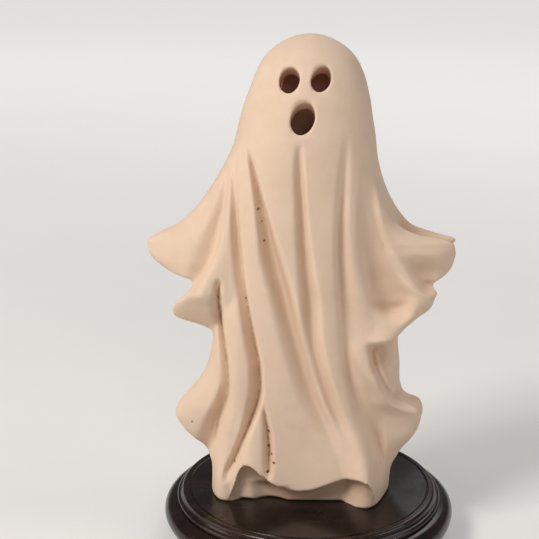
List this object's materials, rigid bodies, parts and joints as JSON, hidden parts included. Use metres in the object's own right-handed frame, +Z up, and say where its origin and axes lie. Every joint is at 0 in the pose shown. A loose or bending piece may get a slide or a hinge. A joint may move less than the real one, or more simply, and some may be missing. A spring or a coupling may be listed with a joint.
{
  "type": "ghost incense burner",
  "caption": "Hollow ceramic ghost with raised cloth arms that covers an incense cone on a dark turned round stand.",
  "frame": {"origin": "centre of the felt's underside, where the stand rests on a table", "axes": "+Z up along the stand's axis, -Y the way the ghost faces, +X to the right as seen from in front"},
  "size_m": [0.1203, 0.116, 0.2012],
  "materials": {
    "ghost_bisque": "matt unglazed ivory bisque",
    "stand_lacquer": "black-brown gloss lacquer",
    "felt_dark": "dark green felt",
    "dish_brass": "dull, smoke-stained",
    "incense": "pressed powder, matt"
  },
  "bodies": {
    "stand": {"display_stand": "stand_lacquer", "base_felt": "felt_dark"},
    "shell": {"ghost_shell": "ghost_bisque"},
    "dish": {"cone_dish": "dish_brass"},
    "cone": {"incense_cone": "incense"}
  },
  "joints": [
    {"name": "shell_lift", "type": "slide", "parent": "stand", "child": "shell", "axis": [0, 0, 1], "range_m": [0, 0.08]},
    {"name": "dish_lift", "type": "slide", "parent": "stand", "child": "dish", "axis": [0, 0, 1], "range_m": [0, 0.02]},
    {"name": "cone_lift", "type": "slide", "parent": "dish", "child": "cone", "axis": [0, 0, 1], "range_m": [0, 0.02]}
  ]
}
